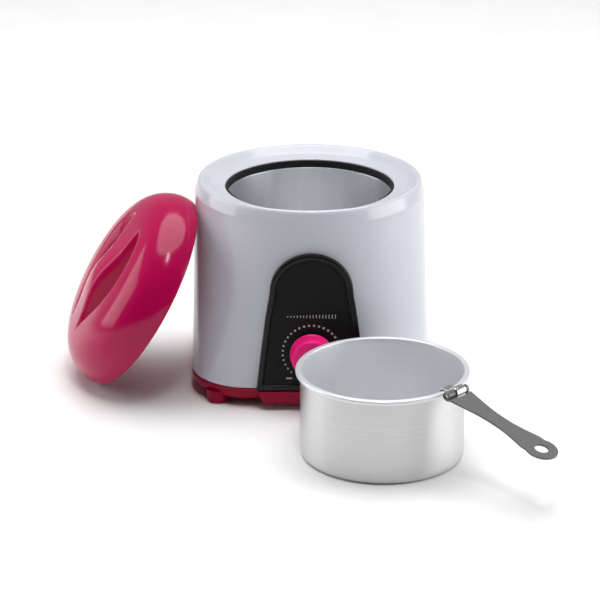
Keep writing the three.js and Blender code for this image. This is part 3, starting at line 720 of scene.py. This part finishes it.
def bevelled(ring, amount):
    """The ring moved sideways by an amount, to the left of its direction."""
    out = []
    for i, (x, y) in enumerate(ring):
        d = Vector(ring[(i + 1) % len(ring)]) - Vector(ring[i - 1])
        d.normalize()
        out.append((x - d.y * amount, y + d.x * amount))
    return out


def build_plate():
    """Flat of the handle from the knuckles to its round end, with the hanging hole."""
    half_widths = spline(PLATE_HALF, 60)
    edge = [(PLATE_START, PLATE_ROOT)] + [p for p in half_widths if p[0] > PLATE_START + 0.1]
    end = circle(HOLE_AT, 0, END_R, 118, -236, 36)
    outline = edge + end + [(x, -w) for x, w in reversed(edge)]
    # The round end is a ring about the hole, closed by a line across the plate.
    across, half = edge[-1]
    line = [(across, half * k / 5) for k in range(-4, 5)]
    around = [edge[-1]] + end + [(across, -half)] + line
    hole = []
    for x, w in around:
        a = math.atan2(w, x - HOLE_AT)
        hole.append((HOLE_AT + HOLE_R * math.cos(a), HOLE_R * math.sin(a)))

    z0, z1, e = -SHEET, 0.0, PLATE_BEVEL
    points, faces = [], []

    def add(ring, z):
        start = len(points)
        points.extend((x, y, z) for x, y in ring)
        return list(range(start, start + len(ring)))

    def skin(one, two):
        for i in range(len(one)):
            k = (i + 1) % len(one)
            faces.append((one[i], one[k], two[k], two[i]))

    walls = [add(bevelled(outline, -e), z0), add(outline, z0 + e), add(outline, z1 - e),
             add(bevelled(outline, -e), z1)]
    bores = [add(bevelled(hole, e), z0), add(hole, z0 + e), add(hole, z1 - e),
             add(bevelled(hole, e), z1)]
    for rings in (walls, bores):
        for one, two in zip(rings, rings[1:]):
            skin(one, two)
    # Each face of the plate: the ring about the hole, then strips across the rest.
    count = len(edge)
    for wall, bore, z in ((walls[0], bores[0], z0), (walls[-1], bores[-1], z1)):
        middle = add(line, z)
        skin(wall[count - 1:count + len(end) + 1] + middle, bore)
        for i in range(count - 2):
            faces.append((wall[i], wall[i + 1], wall[-2 - i], wall[-1 - i]))
        last_strip = (wall[count - 2], wall[count - 1], *reversed(middle), wall[-count], wall[1 - count])
        faces.append(last_strip)
    return points, faces


def knuckle(y0, y1):
    """Plate end rolled round the pin: a lead-in that dips under the pin and the roll itself."""
    r = CURL_R - SHEET / 2
    lead_in = [(PLATE_START + 1, -SHEET / 2), (4.2, -SHEET / 2), (2.2, -r), (0, -r)]
    path = rounded(lead_in, [0, 1.5, 1.5, 0], 5) + circle(0, 0, r, -90, -296, 32)[1:]
    return strap(path, y0, y1, SHEET * KNUCKLE_THIN)


front_knuckle = knuckle(-KNUCKLE_HALF, STRAP_FROM - KNUCKLE_GAP)
rear_knuckle = knuckle(STRAP_TO + KNUCKLE_GAP, KNUCKLE_HALF)
handle_mesh = merge(build_plate(), front_knuckle, rear_knuckle)
handle = make_object("handle_plate", turn(handle_mesh[0], drooped), handle_mesh[1], HANDLE_STEEL, 40)
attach(handle, "handle")
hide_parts("pot_handle")


# ---------------------------------------------------------------- stage, light and camera
FLOOR_HALF, FLOOR_DROP = 4, 0.0002
FLOOR = plastic("pale_floor", rgb(238, 238, 238), rgb(241, 241, 241), (0.85, 0.95), 0.0, 0.3,
                0.00001, 300.0, specular=0.1)
floor_mesh = bpy.data.meshes.new("studio_floor")
floor_corners = [(x * FLOOR_HALF, y * FLOOR_HALF, 0) for x, y in ((-1, -1), (1, -1), (1, 1), (-1, 1))]
floor_mesh.from_pydata(floor_corners, [], [(0, 1, 2, 3)])
floor_mesh.materials.append(FLOOR)
floor = bpy.data.objects.new("studio_floor", floor_mesh)
bpy.context.scene.collection.objects.link(floor)
floor.location.z = -FLOOR_DROP

YAW = math.radians(-0.72)
PITCH = math.radians(20.612)
DISTANCE, AIM_X, AIM_Z = 1800.0, -6.883, 48.752
SENSOR, LENS, FAR_CLIP = 36.0, 148.74, 50.0
forward = Matrix.Rotation(YAW, 3, "Z") @ Vector((0, math.cos(PITCH), -math.sin(PITCH)))
aim = Matrix.Rotation(YAW, 3, "Z") @ Vector((AIM_X, 0, AIM_Z))
camera_data = bpy.data.cameras.new("camera")
camera_data.sensor_width = SENSOR
camera_data.lens = LENS
camera_data.clip_end = FAR_CLIP
camera = bpy.data.objects.new("camera", camera_data)
bpy.context.scene.collection.objects.link(camera)
camera.location = AXIS + (aim - forward * DISTANCE) * MM
camera.rotation_euler = forward.to_track_quat("-Z", "Y").to_euler()
bpy.context.scene.camera = camera


def area(name, location, target, size, size_y, power, shape="RECTANGLE"):
    """Area lamp at a place in metres, aimed at a target."""
    data = bpy.data.lights.new(name, "AREA")
    data.shape = shape
    data.size = size
    data.size_y = size_y
    data.energy = power
    light = bpy.data.objects.new(name, data)
    bpy.context.scene.collection.objects.link(light)
    light.location = location
    light.rotation_euler = (Vector(target) - Vector(location)).to_track_quat("-Z", "Y").to_euler()


# One round soft box overhead, an oblong one on each side and a small lamp high in front.
area("overhead", (-0.02, 0.42, 2.2), (-0.02, 0.2, 0.0), 2.3, 2.3, 52, "DISK")
area("side_right", (1.4, -0.1, 0.42), (0, 0, 0.06), 1.2, 0.8, 11)
area("side_left", (-1.35, 0.25, 0.5), (-0.05, 0, 0.06), 1.0, 0.8, 6.5)
area("front_lamp", (0.04, -0.6, 1.58), (-0.03, 0, 0.08), 0.14, 0.26, 3.2)

ROOM_DARK, ROOM_BRIGHT, ROOM_FROM, ROOM_TO = 0.04, 0.35, -0.9, 0.35
world = bpy.data.worlds.new("studio")
bpy.context.scene.world = world
world.use_nodes = True
tree = world.node_tree
background = tree.nodes["Background"]
sky = tree.nodes.new("ShaderNodeTexCoord")
split = tree.nodes.new("ShaderNodeSeparateXYZ")
tree.links.new(sky.outputs["Generated"], split.inputs["Vector"])
# The studio is bright behind and to the sides, and dark in front where the room is.
room = tree.nodes.new("ShaderNodeMapRange")
room.interpolation_type = "SMOOTHERSTEP"
room.inputs["From Min"].default_value = ROOM_FROM
room.inputs["From Max"].default_value = ROOM_TO
room.inputs["To Min"].default_value = ROOM_DARK
room.inputs["To Max"].default_value = ROOM_BRIGHT
tree.links.new(split.outputs["Y"], room.inputs["Value"])
tree.links.new(room.outputs["Result"], background.inputs["Strength"])
background.inputs["Color"].default_value = (1, 1, 1, 1)
bpy.context.scene.view_settings.view_transform = "Standard"
